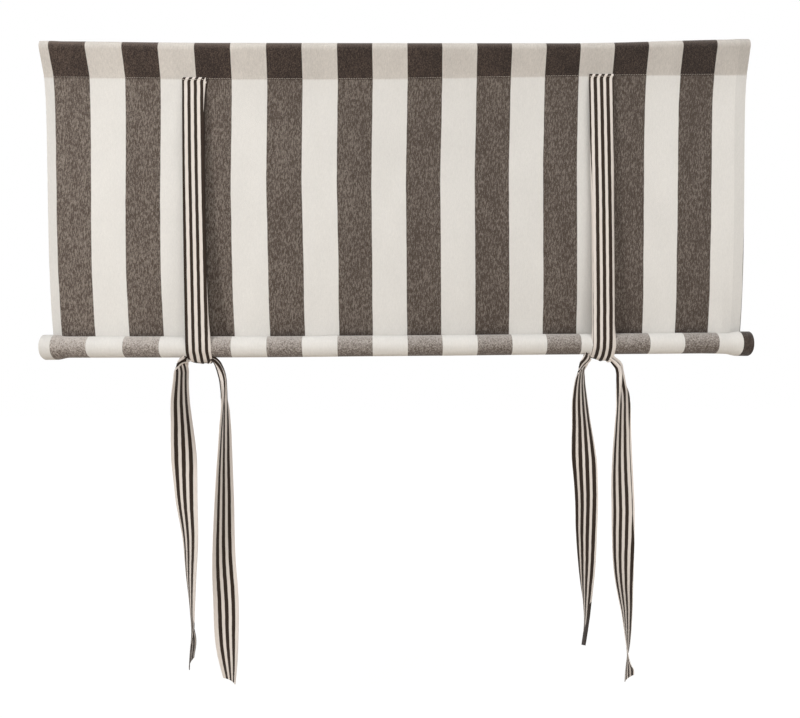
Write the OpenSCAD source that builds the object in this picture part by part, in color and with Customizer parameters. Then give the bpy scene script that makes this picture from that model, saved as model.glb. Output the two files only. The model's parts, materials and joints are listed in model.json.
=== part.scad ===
// Roll-up tie blind: a hemmed cloth with a rod pocket along its top and its lower end
// wound round a dowel towards the front, held up by two pairs of knotted tape ties.
// The origin is the middle of the pocket's axis. X runs to the right, Y to the back, Z up.

/* [Cloth] */
// Width of the finished cloth
cloth_w = 1000; // [700:10:1400]
// Thickness of one layer of cloth
cloth_t = 0.45; // [0.35:0.01:0.6]
// Width of the hem turned back down each side
hem_w = 15; // [10:1:25]
// Width over which the single cloth rises to the doubled hem
hem_ramp = 6; // [3:1:12]

/* [Heading] */
// Diameter of the rod that the pocket takes
rod_d = 22; // [12:1:28]
// Height of the heading from its top edge down to the seam
heading_h = 50; // [44:1:80]
// Space left between the two layers at the seam
seam_gap = 0.1; // [0.05:0.05:0.3]
// How far the turned edge reaches below the seam
turn_in = 2; // [1:0.5:6]

/* [Panel] */
// Drop from the seam to the middle of the roll
panel_h = 383; // [250:1:900]
// How far the flat of the panel hangs behind the seam
set_back = 5; // [2:0.5:7]
// Slope at which the panel meets the back of the roll
entry_angle = 10; // [6:1:16]

/* [Roll] */
// Diameter of the dowel in the middle of the roll
dowel_d = 12; // [8:1:20]
// How far each end of the dowel lies inside the cloth's edge
dowel_inset = 8; // [2:1:20]
// Turns of cloth wound on the dowel
roll_turns = 11.5; // [7:0.5:15]
// Space between two turns at the hems, and round the dowel
turn_gap = 0.06; // [0.05:0.01:0.2]
// How much less the roll's radius is between its hemmed ends
roll_waist = 2.3; // [1:0.1:2.5]
// How far the middle of the roll hangs behind the rod
roll_back = 1.8; // [0:0.1:4]

/* [Ties] */
// Width of a tape tie
tie_w = 35; // [20:1:45]
// Thickness of a tape tie
tie_t = 1; // [0.6:0.1:1.4]
// Distance between the two pairs of ties at the seam
tie_spacing = 578; // [300:2:640]
// How far each tie leans in on its way down to the roll
tie_lean = 4; // [0:0.5:10]
// How far both pairs of ties are sewn to the right of the middle
tie_drift = 3; // [0:0.5:6]
// How far the sewn end of a tie reaches above the seam
tie_reach = 1; // [0.5:0.5:8]
// Space between a tie and the cloth that it lies on
tie_gap = 0.35; // [0.1:0.05:0.5]

/* [Hidden] */

cream = [0.88, 0.86, 0.82];
tape_grey = [0.55, 0.5, 0.46];
pine = [0.8, 0.65, 0.45];

// Steps along the cloth: pocket arc, panel and sides of one turn of the roll
pocket_steps = 14;
panel_steps = 18;
turn_sides = 20;
turn_step = 360 / turn_sides;
dowel_sides = 48;
wind_steps = round(roll_turns * turn_sides);

// Heights of the seam, of the start of the hanging panel and of the roll's middle
seam_z = rod_d / 2 + cloth_t - heading_h;
edge_room = 1;
panel_top_z = seam_z - turn_in - edge_room;
roll_z = seam_z - panel_h;

// The panel falls back within this share of its drop below the seam
fall_share = 0.09;

// The hemmed ends are wound tight, and the single cloth between them lies looser
end_pitch = 2 * cloth_t + turn_gap;
wind_start_r = (dowel_d / 2 + turn_gap) / cos(turn_step / 2);

// Places across the cloth, each with its share of the second layer
places = [
    [-cloth_w / 2, 1],
    [-cloth_w / 2 + hem_w, 1],
    [-cloth_w / 2 + hem_w + hem_ramp, 0],
    [cloth_w / 2 - hem_w - hem_ramp, 0],
    [cloth_w / 2 - hem_w, 1],
    [cloth_w / 2, 1]
];

// Thickness and wound pitch of the cloth for a share of second layer
function layer(share) = cloth_t * (1 + share);
function pitch(share) = end_pitch - (1 - share) * roll_waist / roll_turns;

// Inner radius of the wound cloth after an angle of winding from the outside
function wound_r(share, wind) = wind_start_r + pitch(share) * (roll_turns - wind / 360);

// A point [y, z] at a radius from the roll's middle
function on_roll(r, wind) = [roll_back + r * cos(entry_angle - wind), roll_z + r * sin(entry_angle - wind)];

// Pocket: [front, back] points from the turned edge over the rod and down to the seam
function pocket_angle(share) = asin((rod_d / 2 + layer(share)) / -seam_z);
function pocket_points(share) = let (
    inner = seam_gap / 2,
    outer = inner + layer(share),
    low = pocket_angle(share),
    r = rod_d / 2)
    concat(
        [[[outer, seam_z - turn_in], [inner, seam_z - turn_in]],
         [[outer, seam_z], [inner, seam_z]]],
        [for (i = [0 : pocket_steps])
            let (a = -low + i * (180 + 2 * low) / pocket_steps)
            [(r + layer(share)) * [cos(a), sin(a)], r * [cos(a), sin(a)]]],
        [[[-outer, seam_z], [-inner, seam_z]]]);

// Panel: falls back below the seam and swings out to the back of the roll
function panel_points(share) = let (
    r = wound_r(share, 0),
    start = -seam_gap / 2 - layer(share),
    finish = on_roll(r, 0),
    drop = panel_top_z - finish[1],
    swing = finish[0] - start - set_back,
    power = tan(entry_angle) * drop / swing)
    [for (i = [0 : panel_steps])
        let (
            u = i / panel_steps,
            y = start + set_back * (1 - exp(-u / fall_share)) + swing * pow(u, power),
            rate = set_back / fall_share * exp(-u / fall_share) + swing * power * pow(u, power - 1),
            lean = atan(rate / drop),
            z = panel_top_z - u * drop)
        [[y, z], [y, z] + layer(share) * [cos(lean), sin(lean)]]];

// Roll: the turns wound in towards the dowel
function roll_points(share) = [
    for (i = [1 : wind_steps])
        let (wind = i * turn_step, r = wound_r(share, wind))
        [on_roll(r, wind), on_roll(r + layer(share), wind)]];

function cloth_points(share) = concat(pocket_points(share), panel_points(share), roll_points(share));

// Two triangles for a four-sided face
function halves(q) = [[q[0], q[1], q[2]], [q[0], q[2], q[3]]];
function triangles(quads) = [for (q = quads) each halves(q)];

// One sheet lofted across its width through the section at each place
module sheet(sections, xs) {
    rows = len(sections[0]);
    cols = len(xs);
    back = rows * cols;
    points = [
        for (side = [0, 1])
            for (i = [0 : rows - 1])
                for (j = [0 : cols - 1])
                    [xs[j], sections[j][i][side][0], sections[j][i][side][1]]];
    faces = concat(
        [for (i = [0 : rows - 2]) for (j = [0 : cols - 2])
            let (a = i * cols + j)
            [a, a + 1, a + cols + 1, a + cols]],
        [for (i = [0 : rows - 2]) for (j = [0 : cols - 2])
            let (a = back + i * cols + j)
            [a, a + cols, a + cols + 1, a + 1]],
        [for (i = [0 : rows - 2])
            let (a = i * cols)
            [back + a, a, a + cols, back + a + cols]],
        [for (i = [0 : rows - 2])
            let (a = i * cols + cols - 1)
            [a, back + a, back + a + cols, a + cols]],
        [for (j = [0 : cols - 2]) [back + j, back + j + 1, j + 1, j]],
        [for (j = [0 : cols - 2])
            let (a = (rows - 1) * cols + j)
            [a, a + 1, back + a + 1, back + a]]);
    polyhedron(points, triangles(faces), convexity = 10);
}

// Ties: each row is [x, y, z, turn of the width about the vertical, width]
rope_w = 7.5 * tie_t;
tail_start_share = 0.75;
seat = tie_gap + tie_t / 2;
curve_steps = 3;
knot_y = roll_back;
knot_z = roll_z - wound_r(0, 90 + entry_angle) - cloth_t;
knot_x = tie_spacing / 2 - tie_lean;

// Angles round the roll at which a tie has its rows, from where it comes onto the roll
front_wrap = [0, 18, 34, 42];
back_wrap = [0, 14, 28];

// Knot rows in tape thicknesses from the bottom of the roll:
// [x, y, z, turn, share of the full width that is spread open]
front_knot = [
    [0.5, -8.8, -5.5, 0, 0.8],
    [1, -3, -11.2, 0, 0.62],
    [1.5, 2.5, -11.8, 0, 0.24],
    [3, 6, -8.6, 10, 0.04],
    [5, 6.6, -4.6, 30, 0],
    [8.5, 3.8, -2.7, 45, 0],
    [14, 0, -2.9, 60, 0.02],
    [20, -3, -5, 80, 0.12],
    [27, -4.5, -11.5, 86, 0.4]
];
back_knot = [
    [1, 15.2, 2, 10, 0.5],
    [4, 15.6, -4, 40, 0.12],
    [9.5, 14.2, -7, 65, 0],
    [14, 9, -7.6, 20, 0],
    [11.5, 3.2, -7.5, -20, 0],
    [5, -0.4, -7, -60, 0],
    [-4, -1.2, -5.6, -80, 0],
    [-12, -1, -3.9, -85, 0.02],
    [-18.5, -2.4, -4.8, -87, 0.08],
    [-22.5, -4, -11, -85, 0.4]
];

// Tail rows in millimetres from the bottom of the roll: [x, y, z, turn]
left_front_tail = [
    [31, -4.5, -26, 83], [33, -4.3, -42, 84], [34, -4, -61, 83], [33, -4, -95, 76], [32, -4, -132, 69],
    [31, -4, -203, 53], [30.5, -4, -288, 35], [33, -4, -345, 13], [34.5, -4, -402, -12],
    [37.5, -4, -454, -40]
];
left_back_tail = [
    [-26.5, -4.5, -26, -100], [-27.5, -4.4, -58, -119], [-26, -4, -95, -132], [-24, -4, -132, -142],
    [-22.5, -4, -168, -139], [-21, -4, -200, -131], [-15, -4, -256, -109], [-14.5, -4, -313, -97],
    [-14, -4, -369, -82], [-13.5, -4, -405, -72], [-17, -4, -436, -61]
];
right_front_tail = [
    [27, -4.3, -26, 70], [29, -4.4, -39, 51], [31, -4.2, -55, 47], [31.5, -4, -70, 42],
    [30.5, -4, -100, 36], [29, -4, -136, 28], [28.5, -4, -180, 16], [29.5, -4, -215, 14],
    [29.5, -4, -257, 18], [29.5, -4, -314, 25], [31, -4, -340, 35], [32.5, -4, -360, 44],
    [33.5, -4, -385, 52], [34, -4, -408, 59], [35, -4, -428, 70], [35.5, -4, -446, 85], [34, -4, -464, 94]
];
right_back_tail = [
    [-28.5, -4.5, -26, -105], [-30, -4.5, -40, -128], [-30.5, -4.3, -62, -141], [-28, -4, -107, -153],
    [-26.5, -4, -136, -162], [-25, -4, -168, -173], [-24, -4, -207, -171], [-24, -4, -256, -160],
    [-23, -4, -293, -148], [-23.5, -4, -336, -131], [-24, -4, -370, -122], [-24.5, -4, -393, -112],
    [-28, -4, -414, -96]
];

// Width of a tie opened out from its bunched width by a share
function spread(share) = rope_w + share * (tie_w - rope_w);
function knot_rows(rows, x) = [
    for (r = rows) [x + r[0] * tie_t, knot_y + r[1] * tie_t, knot_z + r[2] * tie_t, r[3], spread(r[4])]];
function tail_rows(rows, x) = [
    for (i = [0 : len(rows) - 1])
        let (r = rows[i])
        [x + r[0], knot_y + r[1], knot_z + r[2], r[3], i == 0 ? spread(tail_start_share) : tie_w]];

// Rows that lie on the outside of the roll at angles of winding
function wrap_rows(winds, x) = [
    for (w = winds)
        let (p = on_roll(wound_r(0, w) + cloth_t + seat, w))
        [x, p[0], p[1], 0, tie_w]];

// Front run: sewn on at the seam, then straight down to the front of the roll
function front_run(x_top, x_low) = let (
    slope = tan(pocket_angle(0)),
    y = -seam_gap / 2 - cloth_t - seat,
    side = entry_angle + 180)
    concat(
        [[x_top, y - tie_reach * slope, seam_z + tie_reach, 0, tie_w],
         [x_top, y - edge_room * slope, seam_z, 0, tie_w]],
        wrap_rows([for (a = front_wrap) side - a], x_low));

// Back run: sewn on behind the seam, then down the back of the panel and of the roll
function back_run(x_top, x_low) = let (
    y = seam_gap / 2 + cloth_t + seat,
    slope = tan(pocket_angle(0)),
    face = panel_points(0))
    concat(
        [[x_top, y + tie_reach * slope, seam_z + tie_reach, 0, tie_w],
         [x_top, y + edge_room * slope, seam_z, 0, tie_w]],
        [for (i = [1 : panel_steps - 1])
            let (p = face[i][1], x = x_top + (x_low - x_top) * i / panel_steps)
            [x, p[0] + seat, p[1], 0, tie_w]],
        wrap_rows(back_wrap, x_low));

// A smooth curve through the rows
function curve_at(a, b, c, d, t) =
    0.5 * (2 * b + (c - a) * t + (2 * a - 5 * b + 4 * c - d) * t * t + (3 * b - a - 3 * c + d) * t * t * t);
function curve(rows) = let (last = len(rows) - 1) concat(
    [for (i = [0 : last - 1]) for (k = [0 : curve_steps - 1])
        curve_at(rows[max(i - 1, 0)], rows[i], rows[i + 1], rows[min(i + 2, last)], k / curve_steps)],
    [rows[last]]);

// The tape is bunched to the same area of section where it is drawn in
bunch_share = 0.8;
function tape_thick(w) = max(tie_t, bunch_share * tie_t * tie_w / w);
function unit(v) = v / norm(v);
function at(row) = [row[0], row[1], row[2]];

// One tape swept along its rows with a flat section
module tape(rows) {
    last = len(rows) - 1;
    rings = [for (i = [0 : last]) let (
        run = unit(at(rows[min(i + 1, last)]) - at(rows[max(i - 1, 0)])),
        flat = [cos(rows[i][3]), sin(rows[i][3]), 0],
        wide = unit(flat - run * (flat * run)) * rows[i][4] / 2,
        thick = unit(cross(wide, run)) * tape_thick(rows[i][4]) / 2,
        p = at(rows[i]))
        [p - wide - thick, p + wide - thick, p + wide + thick, p - wide + thick]];
    faces = concat(
        [[3, 2, 1, 0]],
        [for (i = [0 : last - 1]) let (a = 4 * i, b = a + 4) each [
            [a, a + 1, b + 1, b],
            [a + 1, a + 2, b + 2, b + 1],
            [a + 3, b + 3, b + 2, a + 2],
            [a + 3, a, b, b + 3]]],
        [[4 * last, 4 * last + 1, 4 * last + 2, 4 * last + 3]]);
    polyhedron([for (r = rings) each r], triangles(faces), convexity = 10);
}

module front_tie(side, tail) {
    x = side * knot_x + tie_drift;
    run = front_run(side * tie_spacing / 2 + tie_drift, x);
    color(tape_grey)
        tape(concat(run, curve(concat([run[len(run) - 1]], knot_rows(front_knot, x), tail_rows(tail, x)))));
}

module back_tie(side, tail) {
    x = side * knot_x + tie_drift;
    run = back_run(side * tie_spacing / 2 + tie_drift, x);
    color(tape_grey)
        tape(concat(run, curve(concat([run[len(run) - 1]], knot_rows(back_knot, x), tail_rows(tail, x)))));
}

module blind_cloth() {
    color(cream)
        sheet([for (p = places) cloth_points(p[1])], [for (p = places) p[0]]);
}

module roll_dowel() {
    color(pine)
        translate([-cloth_w / 2 + dowel_inset, roll_back, roll_z])
            rotate([0, 90, 0])
                cylinder(d = dowel_d, h = cloth_w - 2 * dowel_inset, $fn = dowel_sides);
}

module left_front_tie() { front_tie(-1, left_front_tail); }
module left_back_tie() { back_tie(-1, left_back_tail); }
module right_front_tie() { front_tie(1, right_front_tail); }
module right_back_tie() { back_tie(1, right_back_tail); }

blind_cloth();
roll_dowel();
left_front_tie();
left_back_tie();
right_front_tie();
right_back_tie();
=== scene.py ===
import json
import math

import bpy
import numpy as np
from mathutils import Matrix, Vector


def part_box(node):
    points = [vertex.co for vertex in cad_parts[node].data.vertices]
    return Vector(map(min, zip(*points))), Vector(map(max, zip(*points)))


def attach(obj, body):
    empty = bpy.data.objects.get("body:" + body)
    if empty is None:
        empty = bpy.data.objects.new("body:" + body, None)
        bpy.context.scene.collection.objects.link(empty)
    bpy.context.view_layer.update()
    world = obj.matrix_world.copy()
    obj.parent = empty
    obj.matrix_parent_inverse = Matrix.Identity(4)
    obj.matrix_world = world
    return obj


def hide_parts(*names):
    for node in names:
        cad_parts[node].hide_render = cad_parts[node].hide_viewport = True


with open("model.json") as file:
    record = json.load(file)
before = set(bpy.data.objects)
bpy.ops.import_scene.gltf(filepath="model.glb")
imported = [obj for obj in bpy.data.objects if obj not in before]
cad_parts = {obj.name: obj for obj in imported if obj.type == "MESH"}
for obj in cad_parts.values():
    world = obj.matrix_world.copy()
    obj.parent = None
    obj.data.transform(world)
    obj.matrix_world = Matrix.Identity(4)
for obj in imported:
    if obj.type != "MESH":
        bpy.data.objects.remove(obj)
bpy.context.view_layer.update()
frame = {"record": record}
bpy.ops.object.select_all(action="DESELECT")
scene = bpy.context.scene
mm = 0.001  # shapes are worked out in millimetres, meshes are in metres
crispFold = 50  # degrees, a sharper edge of a cloth stays crisp
print("frame loaded")


# small helpers for shapes

def easeStep(low, high, x):
    t = np.clip((x - low) / (high - low), 0, 1)
    return t * t * (3 - 2 * t)


def smoothRoute(rows, step, firstStep, firstLength):
    # a smooth curve through the given rows, sampled every step millimetres and closer at its start
    rows = np.array(rows, float)
    gaps = np.linalg.norm(np.diff(rows[:, :3], axis=0), axis=1)
    marks = np.concatenate([[0], np.cumsum(gaps)])
    slopes = np.diff(rows, axis=0) / gaps[:, None]
    tangents = np.empty_like(rows)
    tangents[0], tangents[-1] = slopes[0], slopes[-1]
    before, after = gaps[:-1, None], gaps[1:, None]
    tangents[1:-1] = (slopes[:-1] * after + slopes[1:] * before) / (before + after)
    first = np.arange(0, firstLength, firstStep)
    count = int((marks[-1] - firstLength) / step) + 1
    places = np.concatenate([first, np.linspace(firstLength, marks[-1], count)])
    spot = np.clip(np.searchsorted(marks, places, side="right") - 1, 0, len(gaps) - 1)
    t = ((places - marks[spot]) / gaps[spot])[:, None]
    reach = gaps[spot][:, None]
    return ((2 * t**3 - 3 * t**2 + 1) * rows[spot] + (t**3 - 2 * t**2 + t) * reach * tangents[spot]
            + (3 * t**2 - 2 * t**3) * rows[spot + 1] + (t**3 - t**2) * reach * tangents[spot + 1])


def lengthAlong(points):
    # how far along a line of points each of them lies
    return np.concatenate([[0], np.cumsum(np.linalg.norm(np.diff(points, axis=0), axis=1))])


def unit(vectors):
    return vectors / np.linalg.norm(vectors, axis=-1, keepdims=True)


def pick(piece):
    bpy.ops.object.select_all(action="DESELECT")
    piece.select_set(True)
    bpy.context.view_layer.objects.active = piece


def newPiece(name, mesh):
    # a mesh as a piece of the scene, its faces turned outwards
    piece = bpy.data.objects.new(name, mesh)
    scene.collection.objects.link(piece)
    pick(piece)
    bpy.ops.object.mode_set(mode="EDIT")
    bpy.ops.mesh.select_all(action="SELECT")
    bpy.ops.mesh.normals_make_consistent(inside=False)
    bpy.ops.object.mode_set(mode="OBJECT")
    return piece


def closedSheet(name, face, reverse, uv, marks):
    # one closed mesh from the grid of the face side and the grid of the reverse side
    rows, cols = face.shape[:2]
    count = rows * cols
    grid = np.arange(count).reshape(rows, cols)
    a, b, c, d = grid[:-1, :-1], grid[:-1, 1:], grid[1:, 1:], grid[1:, :-1]
    faceQuads = np.stack([a, d, c, b], -1).reshape(-1, 4)
    reverseQuads = np.stack([a, b, c, d], -1).reshape(-1, 4) + count
    loop = np.concatenate([grid[0, :-1], grid[:-1, -1], grid[-1, :0:-1], grid[:0:-1, 0]])
    nextLoop = np.roll(loop, -1)
    rim = np.stack([loop, nextLoop, nextLoop + count, loop + count], -1)
    points = np.concatenate([face.reshape(-1, 3), reverse.reshape(-1, 3)]) * mm
    mesh = bpy.data.meshes.new(name)
    mesh.from_pydata(points.tolist(), [], np.concatenate([faceQuads, reverseQuads, rim]).tolist())
    corner = np.empty(len(mesh.loops), int)
    mesh.loops.foreach_get("vertex_index", corner)
    bothUv = np.concatenate([uv.reshape(-1, 2)] * 2)
    mesh.uv_layers.new(name="cut").data.foreach_set("uv", bothUv[corner].ravel())
    for mark, (onFace, onReverse) in marks.items():
        values = np.concatenate([np.broadcast_to(m, (rows, cols)).ravel() for m in (onFace, onReverse)])
        mesh.attributes.new(mark, "FLOAT", "POINT").data.foreach_set("value", values.astype(np.float32))
    piece = newPiece(name, mesh)
    bpy.ops.object.shade_smooth_by_angle(angle=math.radians(crispFold))
    return piece


# shader maths: a socket that takes Python's operators

class Link:
    def __init__(self, finish, socket):
        self.finish = finish
        self.socket = socket

    def maths(self, operation, *values):
        return self.finish.node("Math", dict(enumerate(values)), operation=operation)[0]

    def __abs__(self):
        return self.maths("ABSOLUTE", self)

    def part(self):
        return self.maths("FRACT", self)

    def wave(self):
        return self.maths("SINE", self)

    def held(self):
        return self.maths("MINIMUM", self.maths("MAXIMUM", self, 0.0), 1.0)


def addOperator(name, kind):
    # a socket may stand before or after the operator
    setattr(Link, f"__{name}__", lambda self, other: self.maths(kind, self, other))
    setattr(Link, f"__r{name}__", lambda self, other: self.maths(kind, other, self))


for name, kind in (("add", "ADD"), ("sub", "SUBTRACT"), ("mul", "MULTIPLY"), ("truediv", "DIVIDE")):
    addOperator(name, kind)


class Finish:
    # the nodes of one material, or of the world
    def __init__(self, owner):
        self.owner = owner
        owner.use_nodes = True
        self.tree = owner.node_tree
        self.tree.nodes.clear()

    def node(self, kind, sockets=None, **settings):
        made = self.tree.nodes.new("ShaderNode" + kind)
        for key, value in settings.items():
            setattr(made, key, value)
        for key, value in (sockets or {}).items():
            if isinstance(value, Link):
                self.tree.links.new(value.socket, made.inputs[key])
            else:
                made.inputs[key].default_value = value
        return [Link(self, out) for out in made.outputs]

    def mixed(self, share, first, second):
        return self.node("Mix", {0: share, 6: first, 7: second}, data_type="RGBA")[2]

    def shaded(self, colour, share):
        # a colour made lighter or darker by a number
        start = colour if isinstance(colour, Link) else colour[:3]
        return self.node("VectorMath", {0: start, "Scale": share}, operation="SCALE")[0]

    def tinted(self, colour, tone):
        return self.node("VectorMath", {0: colour, 1: tone}, operation="MULTIPLY")[0]

    def mark(self, name):
        return self.node("Attribute", attribute_name=name)[2]

    def cutPlace(self):
        # place on the flat cloth: across and along
        uv = self.node("UVMap", uv_map="cut")[0]
        across, along, _ = self.node("SeparateXYZ", {0: uv})
        return across, along

    def place(self, x, y, z=0.0):
        return self.node("CombineXYZ", {0: x, 1: y, 2: z})[0]

    def noise(self, where, scale=1.0, detail=2.0, rough=0.5):
        sockets = {"Vector": where, "Scale": scale, "Detail": detail, "Roughness": rough}
        return self.node("TexNoise", sockets)[0]

    def wander(self, x, y, noiseX, noiseY, size):
        return (self.noise(self.place(x * noiseX, y * noiseY)) - 0.5) * size

    def surface(self, values, colour, noise, height):
        # the roughness changes with a noise, and the height is a bump
        rough = values["gloss"][0] + (noise - 0.5) * values["gloss"][1]
        normal = self.node("Bump", {"Strength": 1.0, "Distance": values["deep"], "Height": height})[0]
        shader = self.node("BsdfPrincipled", {
            "Base Color": colour, "Roughness": rough, "Normal": normal, "Specular IOR Level": 0.2,
            "Sheen Weight": values["sheen"], "Sheen Roughness": 0.5})[0]
        self.node("OutputMaterial", {"Surface": shader})
        return self.owner

    def seen(self):
        # 1 for camera, glossy and transmission rays
        path = self.node("LightPath")
        return (path[0] + path[3] + path[6]).held()


def newFinish(name):
    return Finish(bpy.data.materials.new(name))


def ramp(value, start, length):
    return ((value - start) / length).held()


def hump(value, about, reach):
    return (1 - abs(value - about) / reach).held()


def unevenness(noises, gains):
    # noises about zero, each with its own gain, added up
    total = (noises[0] - 0.5) * gains[0]
    for noise, gain in zip(noises[1:], gains[1:]):
        total = total + (noise - 0.5) * gain
    return total


def tint(red, green, blue):
    # a colour as a picture program shows it, made linear
    def linear(v):
        v = v / 255
        return v / 12.92 if v <= 0.04045 else ((v + 0.055) / 1.055) ** 2.4
    return (linear(red), linear(green), linear(blue), 1.0)


def dress(piece, material):
    piece.data.materials.clear()
    piece.data.materials.append(material)


# striped cotton: warp stripes that show dark on the face and greyer on the reverse

cotton = {
    "width": 1000.0, "margin": 12.0, "stripe": 49.5,  # mm, the margin is cream
    "hem": 15.0,  # turned back down each side, mm
    "hemEdge": 1.5,  # sharpness, per mm
    "hemSlip": 1.5,  # the right hem's stripe stands this far past its fold, mm
    # lie of the stripes: how far they stand over to the right, mm
    "panel": (116.0, 383.0),  # start and length along the cloth
    "nearTop": (260.0, 140.0),  # end of the heading's pull, and the length of its fading
    "nearFoot": (250.0, 120.0),  # start of the sway, and the length of its growth
    "bow": (0.8, 1.9, 16.0),  # at the left end, less to the right, more in the middle
    "topBow": (9.6, 8.0),  # more in the middle near the top, and its growth to the right
    "slack": (0.2, 0.22, 10.0),  # about this share of the width, over this share, less
    "sway": (0.24, 0.46, 40.0, 1.5),  # half a wave as a share of the width, its end, sharpness, size
    "footShift": (0.75, 0.15, 1.6),  # from this share of the width, over this share, back
    "wander": (0.004, 0.02, 1.6),  # noise per mm across and along, size
    # yarn: noise per mm across and along, and what is made of it
    "streak": (0.74, 0.06, 0.2),  # across, slant, along
    "fine": (1.3, 0.6),
    "broad": (0.02, 0.012),
    "mottle": (0.5, 0.26, 0.42, 0.2),  # slanting, of the reverse
    "plane": 0.37,  # height that the noises are read at
    "rough": 0.6,
    "twill": (1.25, 0.9),  # ribs
    "weave": (0.7, 0.8),  # warp and weft ends, mm
    "fleck": (4.2, 2.6, 0.6),  # streak, fine and broad in the dark stripes
    "speck": (1.2, 3.6, 0.8),  # in the doubled heading
    "slub": (0.15, 0.14, 0.1),  # in the cream
    "headingSlub": 1.6,
    "backFleck": (2.3, 1.3),  # mottle and fine on the reverse
    "ribFleck": (0.06, 0.08),  # ribs on the face and on the reverse
    # tones
    "darkFace": tint(78, 66, 58), "fleckFace": tint(136, 125, 115),
    "darkBack": tint(101, 89, 80), "fleckBack": tint(197, 188, 180),
    "cream": tint(223, 219, 213), "creamBack": tint(222, 218, 212),
    "paintedLeftLight": (0.37, 0.0002),  # painted light: the dark flecks paler towards the left, per mm
    "paintedRightShade": (450.0, 0.19),  # painted shade: the dark yarn falls off over this width, mm
    "greyer": (0.62, 0.4, 0.07, 0.022),  # the cream about this share of the width, and near the top
    "specked": (0.4, 1.4, 0.75, 0.7),  # speck level, then painted highlight: more along the heading's top, least in the middle
    "reverseFleckAndLight": (0.56, 0.2, 0.42),  # flecks of the reverse, with painted shade: less to the right, and painted highlight: more where it faces up
    "headingDark": (0.34, 0.28, 0.255),  # painted shade: how far the doubled heading falls below the lit panel, through which more light passes
    # painted shade of the doubled heading's cream
    "headingCream": (0.85, 0.815, 0.785),
    "headingYarn": (0.78, 0.5, 1.05, 0.22),  # its dark yarn, its specks, and painted shade: less to the right
    "headingFall": (900.0, 0.13),  # painted shade: its cream falls off over this width, mm
    "headingTop": (0.975, 0.08, 0.14),  # painted highlight: paler along the top, more so to the right
    "hemDark": 0.8, "hemCream": 0.92,  # painted shade of the doubled hems: share of the heading's tone, and of the cream
    "nip": 0.4,  # painted shade in the fold where the panel meets the roll
    "sheen": 0.2,
    "gloss": (0.82, 0.2),  # roughness and its change with the fine noise
    "relief": (0.5, 0.6, 0.3),  # weave, streaks and ribs in the bump
    "deep": 0.00012,  # m
}


def stripeBow(across, y, nearTop, reverse):
    # the stripes stand over most in the middle, more so in the heading, and sway a little lower down
    nearFoot = ramp(y, *cotton["nearFoot"]) * (1 - reverse)
    drop = ramp(y, *cotton["panel"])
    atLeft, fall, bulge = cotton["bow"]
    topBulge, growth = cotton["topBow"]
    bow = atLeft - across * fall
    bow = bow + across * (1 - across) * (bulge + nearTop * (topBulge + across * growth))
    about, reach, less = cotton["slack"]
    bow = bow - hump(across, about, reach) * drop * (1 - drop) * less
    halfWave, swayEnd, sharp, swaySize = cotton["sway"]
    sway = ((across - halfWave) * (math.pi / halfWave)).wave() * ((swayEnd - across) * sharp).held()
    shiftFrom, shiftOver, shift = cotton["footShift"]
    return bow + (sway * swaySize - ramp(across, shiftFrom, shiftOver) * shift) * nearFoot


def darkStripe(f, x, y, bow, turned, onLeftHem, onRightHem):
    # 1 where the place is within a quarter pitch of a dark stripe's middle
    wander = f.wander(x, y, *cotton["wander"])
    # the turned-back hem shows what lies past the edge, face side out
    pastRight = turned * onRightHem * ((cotton["width"] - x) * 2 + cotton["hemSlip"])
    pattern = x - bow + pastRight - turned * onLeftHem * x * 2 + wander
    pitch = cotton["stripe"] * 2
    fromMiddle = abs(((pattern - cotton["margin"]) / pitch + 0.25).part() - 0.5)
    return ((0.25 - fromMiddle) * (pitch / 0.5) + 0.5).held()


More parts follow.
